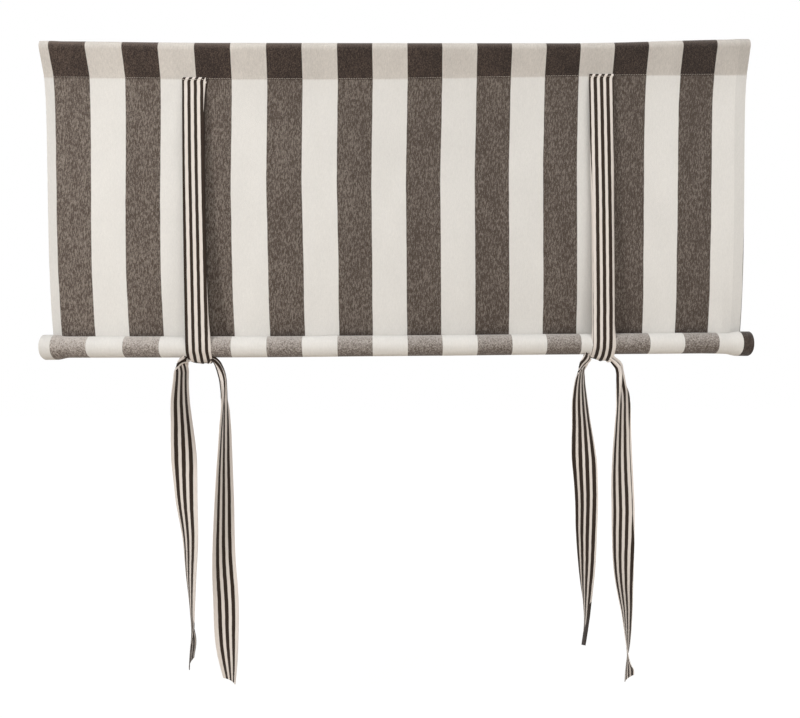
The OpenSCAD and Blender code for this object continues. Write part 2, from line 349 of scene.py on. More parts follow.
def stripedCotton():
    f = newFinish("stripedCotton")
    across, along = f.cutPlace()  # the cloth is 1 m wide, so across is its share of the width too
    x, y = across * (1 / mm), along * (1 / mm)
    reverse, heading, up = f.mark("reverse"), f.mark("heading"), f.mark("up")
    onLeftHem = ((cotton["hem"] - x) * cotton["hemEdge"] + 0.5).held()
    onRightHem = ((x - (cotton["width"] - cotton["hem"])) * cotton["hemEdge"] + 0.5).held()
    onHem = onLeftHem + onRightHem
    turned = reverse * onHem
    topEnd, topLong = cotton["nearTop"]
    nearTop = ((topEnd - y) / topLong).held()
    bow = stripeBow(across, y, nearTop, reverse)
    dark = darkStripe(f, x, y, bow, turned, onLeftHem, onRightHem)

    # light weft shows between dark warp ends as short upright flecks
    wide, slant, long = cotton["streak"]
    plane, rough = cotton["plane"], cotton["rough"]
    streak = f.noise(f.place(x * wide + y * slant, y * long, plane), rough=rough)
    fine = f.noise(f.place(x * cotton["fine"][0], y * cotton["fine"][1], plane), rough=rough)
    broad = f.noise(f.place(x * cotton["broad"][0], y * cotton["broad"][1]))
    twill = ((x * cotton["twill"][0] + y * cotton["twill"][1]) * math.tau).wave()
    wide, slantY, long, slantX = cotton["mottle"]
    mottle = f.noise(f.place(x * wide + y * slantY, y * long - x * slantX, plane), detail=3.0, rough=rough)
    noises = streak, fine, broad
    # painted light: the dark stripes' flecks grow paler towards the left
    paintedLeftLight = cotton["paintedLeftLight"][0] - x * cotton["paintedLeftLight"][1]
    fleck = (unevenness(noises, cotton["fleck"]) + twill * cotton["ribFleck"][0] + paintedLeftLight).held()
    # the doubled heading is only specked
    # painted highlight: more specks where the heading's top faces up, least in the middle
    level, alongTop, fall, rise = cotton["specked"]
    paintedTopLight = heading * up * (alongTop - across * (fall - across * rise))
    speck = (unevenness(noises, cotton["speck"]) + level + paintedTopLight).held()
    # painted light on the reverse's flecks: fewer to the right, more where the roll faces up
    level, fall, facingUp = cotton["reverseFleckAndLight"]
    reverseFleckAndLight = level - across * fall + up * facingUp
    backNoise = unevenness((mottle, fine), cotton["backFleck"])
    fleckBack = (backNoise + twill * cotton["ribFleck"][1] + reverseFleckAndLight).held()

    # dark yarn of the face, the reverse and the heading
    showsBack = reverse * (1 - turned)
    darkYarn = f.mixed(showsBack, f.mixed(fleck, cotton["darkFace"], cotton["fleckFace"]),
                       f.mixed(fleckBack, cotton["darkBack"], cotton["fleckBack"]))
    low, gain, atLeft, fall = cotton["headingYarn"]
    # painted shade: the doubled heading's dark yarn darker than the single panel's
    headingYarn = f.tinted(f.mixed(speck, cotton["darkFace"], cotton["fleckFace"]), cotton["headingDark"])
    # painted shade: the heading's dark yarn darker to the right
    headingYarn = f.shaded(headingYarn, (low + speck * gain) * (atLeft - across * fall))
    # painted shade on the doubled heading and hems
    darkYarn = f.mixed((heading + turned * cotton["hemDark"]).held(), darkYarn, headingYarn)
    # painted shade: the dark yarn darker towards the right
    width, fall = cotton["paintedRightShade"]
    paintedRightShade = 1 - (x / width).held() * fall
    # painted shade on the dark yarn in the fold above the roll
    darkYarn = f.shaded(darkYarn, paintedRightShade * (1 - f.mark("nip") * cotton["nip"]))

    # cream yarn
    about, reach, atMiddle, atTop = cotton["greyer"]
    greyer = hump(across, about, reach) * atMiddle + nearTop * atTop
    uneven = unevenness(noises, cotton["slub"]) * (1 + heading * cotton["headingSlub"])
    slub = 1 - greyer * (1 - showsBack) * (1 - heading) + uneven
    creamYarn = f.mixed(showsBack, cotton["cream"], cotton["creamBack"])
    # painted shade on the doubled hems' cream
    creamYarn = f.shaded(creamYarn, slub * (1 - onHem * (1 - showsBack) * (1 - cotton["hemCream"])))
    # painted shade and highlight: the heading's cream darker to the right and paler along its top
    level, paler, growth = cotton["headingTop"]
    width, fall = cotton["headingFall"]
    tone = (1 - (x / width).held() * fall) * (level + up * (paler + across * growth))
    # painted shade: the doubled heading's cream darker than the single panel's
    headingCream = f.shaded(f.tinted(creamYarn, cotton["headingCream"]), tone)
    creamYarn = f.mixed(heading, creamYarn, headingCream)

    warp = (x * (math.tau / cotton["weave"][0])).wave()
    weft = (y * (math.tau / cotton["weave"][1])).wave()
    onWeave, onStreak, onRib = cotton["relief"]
    height = weft * warp * onWeave + streak * onStreak + twill * onRib
    return f.surface(cotton, f.mixed(dark, creamYarn, darkYarn), fine, height)


# striped tape for the ties

tape = {
    "width": 35.0,  # mm
    "edge": 2.6,  # sharpness of a stripe's edge, per mm
    "wander": (0.05, 0.06, 0.9),  # noise per mm across and along, size in mm
    "fine": (1.5, 0.6), "rib": (0.9, 1.1),  # yarn noise and ribs per mm
    "dark": tint(43, 31, 22), "white": tint(221, 211, 202),
    "darkChange": (0.7, 0.06), "whiteChange": (0.1, 0.02),  # by yarn noise and by ribs
    "gloss": (0.8, 0.2), "deep": 0.00012, "sheen": 0.1,
}


def stripedTape():
    f = newFinish("stripedTape")
    across, along = f.cutPlace()
    x, y = across * tape["width"], along * (1 / mm)
    wander = f.wander(x, y, *tape["wander"])
    period, half = f.mark("period"), f.mark("darkWidth") / 2
    sharp = tape["edge"]
    fromMiddle = abs(((x - f.mark("phase") - half + wander) / period + 0.5).part() - 0.5) * period
    fromEdge = tape["width"] / 2 - abs(x - tape["width"] / 2)
    inside = ((fromEdge - f.mark("plain")) * sharp + 0.5).held()
    # painted shade along the curled edge and the turned tip
    paintedEdgeShade = ((x - tape["width"] + f.mark("paintedEdgeShade")) * sharp + 0.5).held()
    dark = (((half - fromMiddle) * sharp + 0.5).held() * inside + paintedEdgeShade).held()
    fine = f.noise(f.place(x * tape["fine"][0], y * tape["fine"][1]), detail=3.0, rough=0.6)
    rib = ((x * tape["rib"][0] + y * tape["rib"][1]) * math.tau).wave()

    def yarn(tone, change):
        return f.shaded(tape[tone], 1 + (fine - 0.5) * change[0] + rib * change[1])

    colour = f.mixed(dark, yarn("white", tape["whiteChange"]), yarn("dark", tape["darkChange"]))
    return f.surface(tape, colour, fine, rib * 0.5 + fine * 0.5)


# sewing thread and the dowel's pine

sewing = {
    "dark": tint(164, 153, 141), "pale": tint(200, 190, 178),
    "grain": 2200.0, "twist": 900.0,  # noise per m
    "gloss": (0.7, 0.2), "deep": 0.0001, "sheen": 0.1,
}


def sewingThread():
    f = newFinish("sewingThread")
    where = f.node("TexCoord")[3]
    grain = f.noise(where, sewing["grain"])
    twist = f.noise(where, sewing["twist"], 1.0)
    colour = f.mixed(grain, sewing["dark"], sewing["pale"])
    return f.surface(sewing, colour, grain, twist)


pine = {
    "pale": tint(206, 170, 122), "dark": tint(170, 124, 78),
    "rings": (700, 330),  # half waves per m, towards the back and up
    "bend": (4, 60, 4),  # noise per m along and across, and how far it bends the rings
    "pore": (60, 1500),  # noise per m along and across
    "shade": (0.6, 0.5),  # share of rings and pores in the tone
    "gloss": (0.6, 0.2), "relief": 0.3, "deep": 0.0002, "sheen": 0.0,
}


def dowelPine():
    f = newFinish("dowelPine")
    where = f.node("TexCoord")[3]
    x, y, z = f.node("SeparateXYZ", {0: where})
    long, wide, size = pine["bend"]
    bend = f.noise(f.place(x * long, y * wide, z * wide), detail=3.0) * size
    ring = ((y * pine["rings"][0] + z * pine["rings"][1] + bend) * math.tau / 2).wave() * 0.5 + 0.5
    long, wide = pine["pore"]
    pore = f.noise(f.place(x * long, y * wide, z * wide), detail=3.0, rough=0.6)
    colour = f.mixed((ring * pine["shade"][0] + pore * pine["shade"][1]).held(), pine["pale"], pine["dark"])
    return f.surface(pine, colour, pore, pore + ring * pine["relief"])


cottonFinish, tapeFinish = stripedCotton(), stripedTape()
threadFinish, pineFinish = sewingThread(), dowelPine()
print("finishes made")


# the cloth: pocket over the rod, hanging panel, then wound in on the dowel

clothLow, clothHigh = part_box("blind_cloth")
dowelLow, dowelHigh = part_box("roll_dowel")
cloth = {
    "half": (clothHigh.x - clothLow.x) / 2 / mm,
    "layer": 0.45,  # one layer, mm
    "hem": cotton["hem"],
    "hemRamp": 16.0,  # the roll narrows over this width beside each hem
    "rod": frame["record"]["mounts"][0]["dims"]["r_mm"],
    "heading": 50.0,  # top edge down to the seam
    "seamGap": 0.1,
    "turnIn": 2.0,  # turned edge below the seam
    "edgeRoom": 1.0,
    "setBack": 5.0,  # the panel hangs this far behind the seam
    "fallShare": 0.09,
    "entry": math.radians(10),
    "turns": 11.5,
    "turnGap": 0.06,
    "waist": 2.3,  # less radius between the hems
    "rollY": (dowelLow.y + dowelHigh.y) / 2 / mm,
    "rollZ": (dowelLow.z + dowelHigh.z) / 2 / mm,
    "dowel": (dowelHigh.z - dowelLow.z) / 2 / mm,
    # lift of the whole row, then the rise of its left and of its right end, each with its start and end in x
    "topRise": (-2.6, (2.1, 250, 500), (6.0, 240, 510)),
    "seamRise": (-2.2, (2.4, 230, 500), (6.2, -120, 450)),
    "rollRise": (0.8, (1.8, 200, 480), (-1.2, 430, 500)),
    "pocketEnds": (-0.2, 3.0),  # how far the left and right edges stand off the true width
    "seamEnds": (2.5, 2.7),
    "panelEnds": (4.0, -1.5),  # at the foot of the panel
    "rollEnds": (-1.5, 2.3),
    "endReach": (300, 500),  # this shift fades between these places
    # soft flats of the roll: depth, count, start and wander along it
    "flats": ((0.010, 2, 0.9, 0.006), (0.007, 3, 0.0, -0.011), (0.006, 1, 1.0, 0.027)),
    "ripple": 1.5,  # of the panel, mm
    # its waves: height, length, start and turn down the panel
    "waves": ((1.0, 49, 0.6, 1.3), (0.6, 27.5, 2.1, -0.8), (0.3, 15, 4.0, 2.0)),
    "seamFade": 0.9,  # the seam's rise is gone at this share of the drop
    "edgeFade": 0.6,  # how fast the sides reach their place at the foot
    "calmPower": 0.8,  # how fast the ripple grows below the seam and above the roll
    "onFront": (0.2, 0.9),  # the ends move to the roll's own between these half turns
    "nipRise": 11.0, "nipFade": 4.0,  # the painted shade above the roll
    "arcSteps": 36, "flatSteps": 7, "panelSteps": 68, "outerSides": 60, "innerSides": 22, "outerTurns": 1.3,
    "solidSides": 20,  # sides of a wound turn in the solid
    "edgeColumns": (0, 0.8, 3, 7, 11, 15, 18, 21, 24, 27.5, 31, 36, 43),  # from each side edge, mm
    "innerFrom": 52, "innerColumns": 72,
}
seamZ = cloth["rod"] + cloth["layer"] - cloth["heading"]
panelTopZ = seamZ - cloth["turnIn"] - cloth["edgeRoom"]
windStart = (cloth["dowel"] + cloth["turnGap"]) / math.cos(math.pi / cloth["solidSides"])


def hemShare(x):
    # 1 on the doubled hem, 0 on the single cloth
    inner = cloth["half"] - cloth["hem"]
    return easeStep(inner - cloth["hemRamp"], inner, np.abs(x))


def layerAt(share):
    return cloth["layer"] * (1 + share)


def woundRadius(share, wind):
    endPitch = 2 * cloth["layer"] + cloth["turnGap"]
    pitch = endPitch - (1 - share) * cloth["waist"] / cloth["turns"]
    return windStart + pitch * (cloth["turns"] - wind / math.tau)


def rollShape(x, angle):
    # the wound roll isn't quite round: soft flats that wander along it
    return 1 + sum(deep * np.sin(count * angle + start + x * wander)
                   for deep, count, start, wander in cloth["flats"])


def onRoll(x, radius, wind):
    angle = cloth["entry"] - wind
    r = radius * rollShape(x, angle)
    return cloth["rollY"] + r * np.cos(angle), cloth["rollZ"] + r * np.sin(angle)


def ripple(x, drop):
    # slow waves across the hanging panel, none at the seam or the roll
    calm = np.sin(np.pi * np.clip(drop, 0, 1)) ** cloth["calmPower"]
    waves = sum(high * np.sin(x / wide + start + turn * drop) for high, wide, start, turn in cloth["waves"])
    return cloth["ripple"] * calm * waves / sum(wave[0] for wave in cloth["waves"])


def risen(x, rise):
    middle, (left, leftFrom, leftTo), (right, rightFrom, rightTo) = rise
    return middle + left * easeStep(leftFrom, leftTo, -x) + right * easeStep(rightFrom, rightTo, x)


def seamLift(x):
    return risen(x, cloth["seamRise"])


def rollLift(x):
    return risen(x, cloth["rollRise"])


def headingLift(x, z):
    # the heading sags in the middle and stands up at its ends
    high = np.clip((z - seamZ) / cloth["heading"], 0, 1)
    return seamLift(x) * (1 - high) + risen(x, cloth["topRise"]) * high


def endShift(x, ends):
    # moves the two ends of a row sideways, and less further in
    inner, outer = cloth["endReach"]
    return ends[0] * easeStep(inner, outer, -x) + ends[1] * easeStep(inner, outer, x)


def between(first, second, share):
    return [a + (b - a) * share for a, b in zip(first, second)]


def pocketRows(x, share):
    thick = layerAt(share)
    inner = cloth["seamGap"] / 2
    outer = inner + thick
    low = np.arcsin((cloth["rod"] + thick) / -seamZ)
    rim = cloth["rod"]

    def arc(a):
        return (rim + thick) * np.cos(a), (rim + thick) * np.sin(a), rim * np.cos(a), rim * np.sin(a)

    level = np.full_like(x, seamZ)
    rows = [(outer, level - cloth["turnIn"], inner + 0 * x, level - cloth["turnIn"])]
    backSeam = (outer, level, inner + 0 * x, level)
    frontSeam = (-outer, level, -inner + 0 * x, level)
    backArc, frontArc = arc(-low), arc(np.pi + low)
    steps = [i / cloth["flatSteps"] for i in range(cloth["flatSteps"] + 1)]
    rows += [between(backSeam, backArc, t) for t in steps[:-1]]
    rows += [arc(-low + (np.pi + 2 * low) * i / cloth["arcSteps"]) for i in range(cloth["arcSteps"])]
    rows += [between(frontArc, frontSeam, t) for t in steps]

    def placed(yf, zf, yb, zb):
        high = np.clip((zf - seamZ) / cloth["heading"], 0, 1)
        seamEnd, topEnd = endShift(x, cloth["seamEnds"]), endShift(x, cloth["pocketEnds"])
        shifted = x + seamEnd + (topEnd - seamEnd) * high
        return shifted, yf, zf + headingLift(x, zf), yb, zb + headingLift(x, zb)

    return [placed(*row) for row in rows]


def panelCurve(x, share, u):
    # face side of the panel and its lean, at a share of the drop
    thick = layerAt(share)
    start = -cloth["seamGap"] / 2 - thick
    endY, endZ = onRoll(x, woundRadius(share, 0), 0)
    drop = panelTopZ - endZ
    swing = endY - start - cloth["setBack"]
    power = math.tan(cloth["entry"]) * drop / swing
    fall = cloth["fallShare"]
    y = start + cloth["setBack"] * (1 - np.exp(-u / fall)) + swing * u**power
    rate = cloth["setBack"] / fall * np.exp(-u / fall) + swing * power * u ** (power - 1)
    lift = seamLift(x) * (1 - easeStep(0, cloth["seamFade"], u)) + rollLift(x) * u**2
    return y + ripple(x, u), panelTopZ - u * drop + lift, np.arctan(rate / drop)


def panelRows(x, share):
    rows = []
    for i in range(cloth["panelSteps"] + 1):
        u = i / cloth["panelSteps"]
        y, z, lean = panelCurve(x, share, u)
        thick = layerAt(share)
        ends = between(cloth["seamEnds"], cloth["panelEnds"], u ** cloth["edgeFade"])
        shifted = x + endShift(x, ends)
        rows.append((shifted, y, z, y + thick * np.cos(lean), z + thick * np.sin(lean)))
    return rows


def windMarks():
    # close steps on the turn that shows, wider ones inside
    outer = np.arange(1, int(cloth["outerTurns"] * cloth["outerSides"]) + 1) * math.tau / cloth["outerSides"]
    left = cloth["turns"] * math.tau - outer[-1]
    inner = outer[-1] + np.linspace(0, left, int(left / math.tau * cloth["innerSides"]) + 1)[1:]
    return np.concatenate([outer, inner])


def rollRows(x, share):
    rows = []
    for wind in windMarks():
        r = woundRadius(share, wind)
        yf, zf = onRoll(x, r, wind)
        yb, zb = onRoll(x, r + layerAt(share), wind)
        onFront = easeStep(*cloth["onFront"], wind / math.pi)
        shifted = x + endShift(x, between(cloth["panelEnds"], cloth["rollEnds"], onFront))
        rows.append((shifted, yf, zf + rollLift(x), yb, zb + rollLift(x)))
    return rows


def clothGrids(x):
    # face and reverse points of every row of the cloth at the places x
    share = hemShare(x)
    rows = pocketRows(x, share) + panelRows(x, share) + rollRows(x, share)
    face = np.array([[r[0], r[1], r[2]] for r in rows]).transpose(0, 2, 1)
    reverse = np.array([[r[0], r[3], r[4]] for r in rows]).transpose(0, 2, 1)
    return face, reverse


half = cloth["half"]
nearEdge = np.array(cloth["edgeColumns"])
farEdge = half - cloth["innerFrom"]
inside = np.linspace(-farEdge, farEdge, cloth["innerColumns"])
columns = np.concatenate([nearEdge - half, inside, half - nearEdge[::-1]])
faceGrid, reverseGrid = clothGrids(columns)
middle = faceGrid[:, len(columns) // 2, 1:]
alongCloth = lengthAlong(middle)
pocketCount = len(pocketRows(columns, hemShare(columns)))
clothUv = np.stack(np.broadcast_arrays((columns[None, :] + half) * mm, alongCloth[:, None] * mm), -1)
rowNumber, rollStart = np.arange(len(faceGrid)), len(faceGrid) - len(windMarks())
inHeading = (rowNumber < pocketCount).astype(float)[:, None]
# how far each row faces up, for the painted highlights along the heading's top and the roll's top
facingUp = np.where(inHeading > 0, np.clip(faceGrid[:, :1, 2] / cloth["rod"], 0, 1), 0.0)
facingUp[rollStart:, 0] = np.sin(cloth["entry"] - windMarks())
# where the painted shade in the fold above the roll lies
nipTop = cloth["rollZ"] + windStart + cloth["nipRise"] + rollLift(columns)[None, :]
isPanel = (rowNumber >= pocketCount) & (rowNumber < rollStart)
inNip = (1 - easeStep(nipTop, nipTop + cloth["nipFade"], faceGrid[:, :, 2])) * isPanel[:, None]
blindCloth = closedSheet("blindCloth", faceGrid, reverseGrid, clothUv, {
    "reverse": (0.0, 1.0), "heading": (inHeading, inHeading), "up": (facingUp, facingUp),
    "nip": (inNip, inNip * 0)})
dress(blindCloth, cottonFinish)
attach(blindCloth, "root")
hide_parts("blind_cloth")
print("cloth hung and rolled,", len(blindCloth.data.polygons), "faces")


# the dowel inside the roll

wood = {
    "sides": 48,
    "eased": 0.0006, "easedSteps": 3,  # bevel of the ends, m
    "crisp": 40,  # degrees, a sharper edge stays crisp
}


def makeDowel():
    length = dowelHigh.x - dowelLow.x
    centre = (dowelLow + dowelHigh) / 2
    bpy.ops.object.select_all(action="DESELECT")
    bpy.ops.mesh.primitive_cylinder_add(vertices=wood["sides"], radius=cloth["dowel"] * mm, depth=length,
                                        rotation=(0, math.pi / 2, 0), location=centre)
    piece = bpy.context.object
    piece.name = piece.data.name = "dowel"
    bpy.ops.object.transform_apply(location=True, rotation=True, scale=True)
    bevel = piece.modifiers.new("eased ends", "BEVEL")
    bevel.width, bevel.segments, bevel.limit_method = wood["eased"], wood["easedSteps"], "ANGLE"
    bpy.ops.object.modifier_apply(modifier=bevel.name)
    bpy.ops.object.shade_smooth_by_angle(angle=math.radians(wood["crisp"]))
    dress(piece, pineFinish)
    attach(piece, "root")
    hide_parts("roll_dowel")
    return piece


dowel = makeDowel()
print("dowel turned")


# stitches: one is modelled, then set out along the seams

stitch = {
    "long": 2.8, "thick": 0.5, "tieThick": 1.0, "pitch": 3.4,  # mm
    "low": 0.7,  # height as a share of the thickness
    "seamEnds": (3.0, 2.0),  # the row starts and stops this far from the cloth's ends
    "tieEnds": (1.6, 3.0),  # and this far from a tape's edges
}


def stitchRow(name, points, outward, thick):
    # a row of stitches through the points, lying on the side that outward names
    bpy.ops.object.select_all(action="DESELECT")
    bpy.ops.mesh.primitive_uv_sphere_add(segments=6, ring_count=4, radius=0.5)
    seed = bpy.context.object
    corners = np.array([v.co for v in seed.data.vertices])
    faces = [list(p.vertices) for p in seed.data.polygons]
    bpy.data.objects.remove(seed)
    ahead = unit(np.gradient(points, axis=0))
    lift = unit(outward - ahead * (outward * ahead).sum(1, keepdims=True))
    side = np.cross(lift, ahead)
    shape = (corners[None, :, 2:] * stitch["long"] * ahead[:, None]
             + corners[None, :, :1] * thick * side[:, None]
             + corners[None, :, 1:2] * thick * stitch["low"] * lift[:, None])
    verts = (points[:, None] + shape).reshape(-1, 3) * mm
    quads = [[i + k * len(corners) for i in face] for k in range(len(points)) for face in faces]
    mesh = bpy.data.meshes.new(name)
    mesh.from_pydata(verts.tolist(), [], quads)
    piece = newPiece(name, mesh)
    bpy.ops.object.shade_smooth()
    dress(piece, threadFinish)
    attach(piece, "root")
    return piece


# the ties: flat tapes folded over at the seam, knotted under the roll, with hanging tails

tie = {
    "thick": 0.9, "spacing": 578.0, "lean": 4.0, "drift": 2.9, "reach": 0.6, "gap": 0.3, "rope": 7.5,  # mm
    "topDrift": 0.8,  # share of the drift at the seam
    "sewn": 8.0,  # the hidden end below the fold, mm
    "foldDrop": 1.2, "foldRoom": 0.3,  # the fold's height and the room between its layers
    "outerDrop": 6.0,  # where the outer layer lies flat again
    "frontWrap": (0, 18, 34, 46),  # places on the roll's front, degrees down from its level
    "backWrap": (0, 14, 28),  # and on its back
    "hangSteps": 14, "backSteps": 24, "ripplePlaces": 9,
    "sway": 1.9,  # the hanging fronts stand plumb above and lean lower down
    "across": 44,  # steps across a tape
    "step": 2.5,  # mm along a tape
    "topStep": 0.35, "topLength": 12.0,  # closer steps where the sewn end folds over
    "bendAt": 8.2,  # from the hidden end up to the fold
    "stitchDrop": 3.4,  # from the fold down to the row of stitches
    "topLean": 3.0, "leanFade": 6.0,  # sideways lean of the stripes at the fold
    "pleats": 2,  # folds where it is bunched
    "steepest": 2.15, "slopeSteps": 60,  # slope of the tightest pleat, radians
    "foldWidth": 0.08,  # share of the width that a folded edge turns in
    "cup": 0.3, "cupFrom": 60.0, "cupTo": 140.0,  # curl across the tails in radians, grown past the roll
    "cutLength": 30.0,  # the slant of a cut end fades over this length
    "curlFrom": 0.8,  # past this share of the width an edge may curl under
}
tapeWidth = tape["width"]
knotY = cloth["rollY"]
knotZ = cloth["rollZ"] - float(woundRadius(0.0, math.pi / 2 + cloth["entry"])) - cloth["layer"]
knotX = tie["spacing"] / 2 - tie["lean"]
seat = tie["gap"] + tie["thick"] / 2
seamSlope = math.tan(math.asin((cloth["rod"] + cloth["layer"]) / -seamZ))

# rows from the bottom of the roll: x, y, z, turn of the width about the vertical,
# share spread open, tip of the width below level, share of the width folded over at one edge,
# lift of both edges in radians
behindKnot = [
    (0.1, 15.4, 2, 10, 0.5), (3.1, 15.4, -3, 40, 0.12), (7.6, 13.5, -4.6, 65, 0), (10.2, 9, -4.6, 20, 0)]
knots = {
    "leftFront": [
        (0.1, -8.2, -1.2, 0, 1, -2, 0, 0.1), (0.1, -4, -5, 0, 1, -2, 0, 0.45),
        (0.3, 1, -6.1, 0, 1, -1.5, 0, 0.6), (2.6, 5, -4.4, -10, 0.35, -2, 0, 0.3), (5.7, 7, -2.6, -50, 0),
        (8.5, 3, -1.4, -110, 0, -40)],
    "leftBack": behindKnot + [
        (8.6, 3.6, -4.2, -20, 0), (3.6, 0.4, -4, -60, 0),
        (-4.9, -0.8, -3.4, -70, 0, -30), (-11.9, -1.4, -2.2, -30, 0, -70)],
    "rightFront": [
        (-0.4, -8.2, -1.2, 0, 1, -4, 0, 0.1), (-1.1, -4, -5.6, 0, 1, -9, 0, 0.3),
        (-0.6, 1, -6.8, 0, 1, -10, 0, 0.45), (2.6, 5, -5, -10, 0.35, -5, 0, 0.3), (5.7, 7, -2.8, -50, 0),
        (8.5, 3, -1.4, -110, 0, -40)],
    "rightBack": behindKnot + [
        (8.6, 3.6, -4, -20, 0), (3.6, 0.4, -3, -60, 0),
        (-4.9, -0.8, -1.9, -70, 0, -30), (-11.9, -1.4, -1.2, -30, 0, -70)],
}
tails = {
    "leftFront": [
        (14.7, -2.5, -1, -150, 0, -65), (19.6, -3.2, -3.2, -140, 0, -58),
        (24.6, -4, -8.8, -125, 0.02, -40), (28.1, -4.3, -16.5, -110, 0.06, -20),
        (31, -4.5, -26, -96, 0.25, -8), (32.9, -4.3, -42, -89, 0.6), (33.7, -4, -61, -92, 0.9),
        (33.1, -4, -95, -103, 0.985), (32.1, -4, -132, -111), (30.9, -4, -203, -127), (30.3, -4, -288, -145),
        (33.1, -4, -345, -167), (34.3, -4, -402, -192), (38.2, -4, -457, -229)],
    "leftBack": [
        (-17.9, -2.2, -1.6, 30, 0, -85, 0.4), (-21.4, -3.2, -2.2, 48, 0.4, -60, 0.46),
        (-24.7, -4, -7, 68, 0.9, -34, 0.4), (-25.3, -4.3, -11, 71, 1, -24, 0.28),
        (-25.7, -4.4, -15.5, 72, 1, -15, 0.14), (-26.2, -4.5, -20, 72, 1, -10, 0.04),
        (-26.6, -4.5, -28, 71, 1, -4), (-27.5, -4.4, -58, 61), (-25.9, -4, -95, 48),
        (-24.2, -4, -132, 27), (-23.1, -4, -168, -2), (-22, -4, -200, -15), (-17.8, -4, -256, -37),
        (-17.4, -4, -313, -52), (-15.8, -4, -360, -66), (-14.8, -4, -381, -72), (-15, -4, -406, -87),
        (-17.5, -4, -432, -84)],
    "rightFront": [
        (14.3, -2.5, -5, -150, 0, -60), (19.6, -3.4, -9.8, -140, 0.08, -48),
        (24.9, -4, -15.8, -132, 0.2, -36), (26.7, -4.3, -24, -128, 0.2, -15),
        (28.6, -4.4, -37, -131, 0.6), (30.4, -4.2, -55, -139, 0.95), (30.4, -4, -70, -142),
        (29, -4, -100, -148), (28, -4, -136, -157), (28, -4, -180, -168), (28.8, -4, -215, -173),
        (28.7, -4, -257, -172), (29.1, -4, -314, -158), (30.6, -4, -340, -146), (32.2, -4, -360, -137),
        (33.3, -4, -385, -128), (34, -4, -408, -120), (34.6, -4, -431, -108), (35, -4, -449, -93),
        (34.6, -4, -464, -90)],
    "rightBack": [
        (-18.6, -2.2, 0.2, 25, 0.02, -40, 0.42), (-22.8, -3.2, -6, 38, 0.75, -28, 0.5),
        (-25.9, -4, -13.5, 44, 1, -22, 0.46), (-28.4, -4.4, -20, 54, 1, -16, 0.34),
        (-29.2, -4.5, -26, 57, 1, -10, 0.12), (-29.6, -4.5, -31, 55, 1, -6, 0.02), (-30.3, -4.5, -40, 50),
        (-30.3, -4.3, -62, 39), (-27.9, -4, -107, 22), (-26.5, -4, -136, 2), (-24.9, -4, -168, -26),
        (-23.8, -4, -207, -39), (-24.8, -4, -256, -50), (-25, -4, -293, -61), (-25.6, -4, -336, -79),
        (-25.6, -4, -352, -87), (-25.8, -4, -366, -92), (-26.2, -4, -380, -98), (-27.6, -4, -396, -101.5),
        (-30.5, -4, -415, -103)],
}
cutSlants = {"leftFront": 0.02, "leftBack": 0.05, "rightFront": -0.75, "rightBack": -0.35}
# rows along each tape, from how far past the roll: start of the first dark stripe, one dark and one white,
# the dark alone, and the plain edge, mm
weaves = {
    "leftFront": [
        (-390, -1.6, 8.9, 4.45, -1), (-270, -0.95, 8.95, 4.45, -1), (-160, -0.15, 9, 4.45, -1),
        (15, -0.05, 9.1, 4.45, -1), (35, 4.9, 9.5, 5, -1), (95, 4.9, 9.5, 5, -1), (130, 4.9, 9.5, 5.2, 4)],
    "leftBack": [
        (15, 4.3, 9.1, 4.6, -1), (35, 4.2, 9.8, 5.5, 3.5), (415, 4.2, 9.8, 5.5, 3.5),
        (435, 4.2, 9.8, 7.6, -1)],
    "rightFront": [
        (-390, -2.75, 8.95, 4.95, -1), (-290, -2.4, 8.95, 4.95, 0.4), (-220, -2, 8.95, 4.95, 3.4),
        (-60, -1.55, 8.95, 4.95, 2.7), (15, -2.1, 9, 4.95, 2), (35, 1.9, 9.7, 4.6, -1),
        (75, 1.6, 9.7, 4.6, -1), (150, -1.6, 9.7, 5.2, 2.4), (270, -1.6, 9.7, 5.2, 2.4),
        (330, 0.4, 9.5, 5.2, -1), (375, 1.4, 9.3, 5, -1)],
    "rightBack": [
        (15, 0.5, 9.1, 4.6, -1), (35, 0.4, 9, 5.4, 3.2), (75, 0.4, 9, 5.4, 3.2), (110, 0.4, 9, 5.4, -1),
        (405, 0.4, 9, 5.4, -1), (422, 0.4, 9, 4.8, -1)],
}
# how far the left and right edges curl under, radians, and the painted shade that darkens the curled edge
# and the turned tip, mm
curls = {
    "leftFront": [
        (-400, 0, 0, 1.2), (-384, 0, 0.8, 2.4), (-366, 0, 1.9, 4), (-340, 0, 2.8, 5.4), (-270, 0, 3.3, 5.6),
        (-160, 0, 2.7, 5), (-60, 0, 1.5, 2), (0, 0, 0, -1)],
    "leftBack": [(0, 0, 0, -1)],
    "rightFront": [
        (-390, 0, 0, -1), (-330, 0.4, 0.6, -1), (-200, 1.5, 1, -1), (-40, 1.5, 1, -1), (0, 0.6, 0, -1),
        (15, 0, 0, -1)],
    "rightBack": [(408, 0, 0, -1), (418, 0, 0, 5), (440, 0, 0, 7), (454, 0, 0, 13), (470, 0, 0, 28)],
}


def wrapRows(winds, x):
    # rows on the outside of the roll at angles of winding in degrees
    rows = []
    for wind in np.radians(winds):
        y, z = onRoll(x, woundRadius(0.0, wind) + cloth["layer"] + seat, wind)
        rows.append((x, y, z + rollLift(x), 0))
    return rows


def sewnEnd(x, y, out):
    # the sewn end lies against the heading, folds over at the top and comes down outside
    top = seamZ + float(seamLift(x)) + tie["reach"]
    under = y - out * tie["reach"] * seamSlope
    over = under - out * (tie["thick"] + tie["foldRoom"])
    shoulder = top - tie["foldDrop"]
    return [(x, y, top - tie["sewn"], 0), (x, under, shoulder, 0), (x, (under + over) / 2, top, 0),
            (x, over, shoulder, 0), (x, over + out * tie["foldRoom"], top - tie["outerDrop"], 0)]


